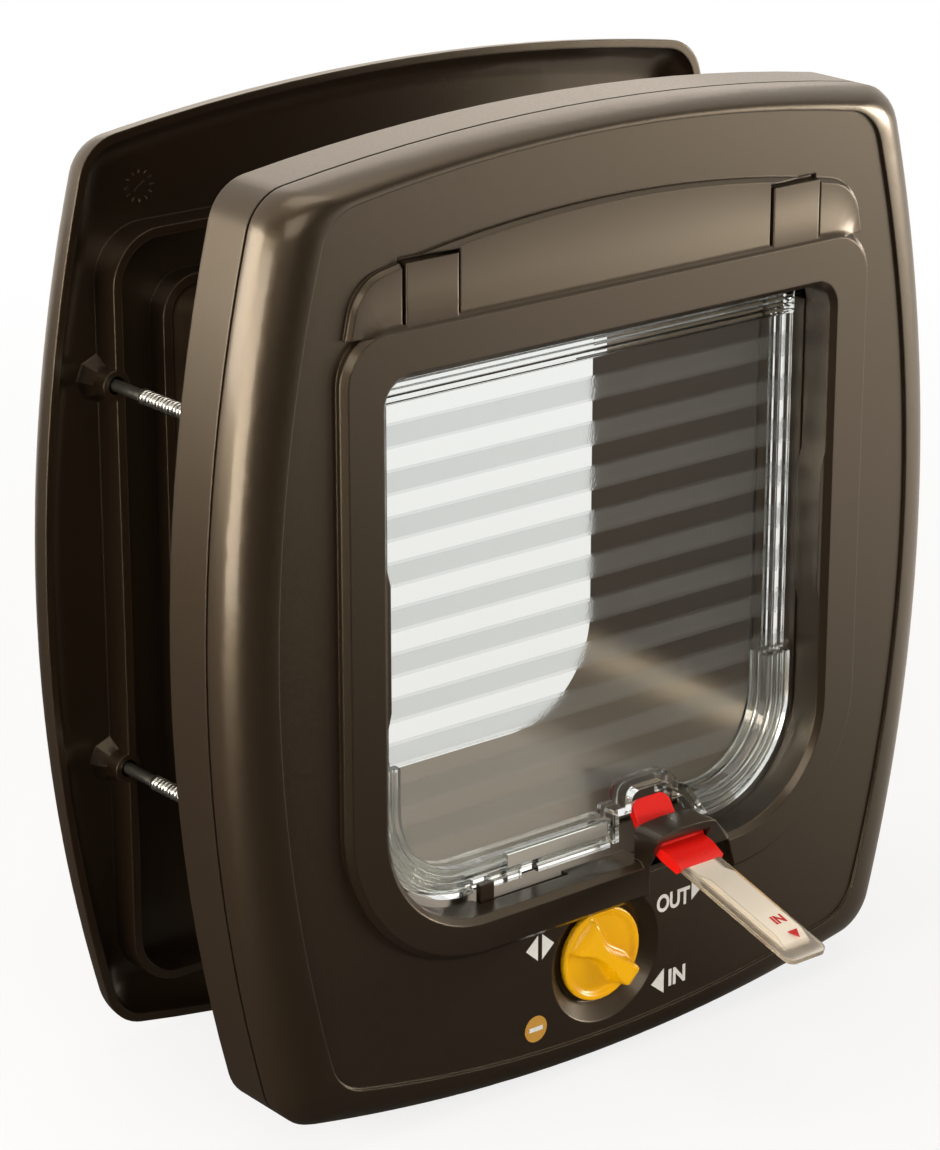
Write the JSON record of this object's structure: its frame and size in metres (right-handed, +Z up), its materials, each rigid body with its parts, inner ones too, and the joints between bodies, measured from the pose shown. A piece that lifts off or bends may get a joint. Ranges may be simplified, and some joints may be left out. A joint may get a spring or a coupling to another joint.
{
  "type": "cat flap",
  "caption": "Cat flap for a house door: framed indoor unit with a clear swinging flap, rotary lock, passage indicator, tunnel and outdoor frame.",
  "frame": {"origin": "mid-width of the frames in the plane of the door's indoor face, where the indoor unit's back wall sits on the door, 3.5 mm above the middle of the frames' height", "axes": "+X to the right seen from indoors, +Y outdoors through the door, +Z up"},
  "size_m": [0.227, 0.1456, 0.25],
  "materials": {
    "brown_plastic": "satin moulded dark brown plastic",
    "clear_plastic": "clear moulded polycarbonate",
    "yellow_plastic": "glossy yellow moulding",
    "red_plastic": "glossy red moulding",
    "dark_plastic": "dark acetal gear",
    "magnet_grey": "grey ferrite and steel",
    "zinc_steel": "zinc plated steel"
  },
  "bodies": {
    "frame": {"front_cover": "brown_plastic", "front_housing": "brown_plastic", "tunnel_liner": "brown_plastic", "rear_frame": "brown_plastic", "clamp_screws": "zinc_steel", "cover_screws": "zinc_steel", "hinge_cap_left": "brown_plastic", "hinge_cap_right": "brown_plastic", "sill_magnet": "magnet_grey", "lock_bar_guide": "brown_plastic", "guide_screws": "zinc_steel", "indicator_pin": "zinc_steel"},
    "flap": {"flap": "clear_plastic", "flap_seal_left": "clear_plastic", "flap_seal_right": "clear_plastic", "flap_magnet": "magnet_grey"},
    "selector": {"selector_knob": "yellow_plastic", "selector_pinion": "dark_plastic", "selector_screw": "zinc_steel"},
    "lock_bar": {"lock_bar": "brown_plastic"},
    "indicator": {"indicator_lever": "red_plastic", "indicator_blade": "clear_plastic"}
  },
  "joints": [
    {"name": "flap_swing", "type": "hinge", "parent": "frame", "child": "flap", "pos_m": [0, -0.0165, 0.0645], "axis": [1, 0, 0], "range_deg": [-80, 80]},
    {"name": "selector_turn", "type": "hinge", "parent": "frame", "child": "selector", "pos_m": [0, -0.0238, -0.0985], "axis": [0, 1, 0], "range_deg": [0, 270]},
    {"name": "lock_bar_slide", "type": "slide", "parent": "frame", "child": "lock_bar", "axis": [1, 0, 0], "range_m": [0, 0.02356]},
    {"name": "indicator_rock", "type": "hinge", "parent": "frame", "child": "indicator", "pos_m": [0.0204, -0.0305, -0.0708], "axis": [-1, 0, 0], "range_deg": [0, 28]}
  ],
  "couplings": [
    {"joint": "selector_turn", "follows": "lock_bar_slide", "rad_per_m": 200}
  ]
}
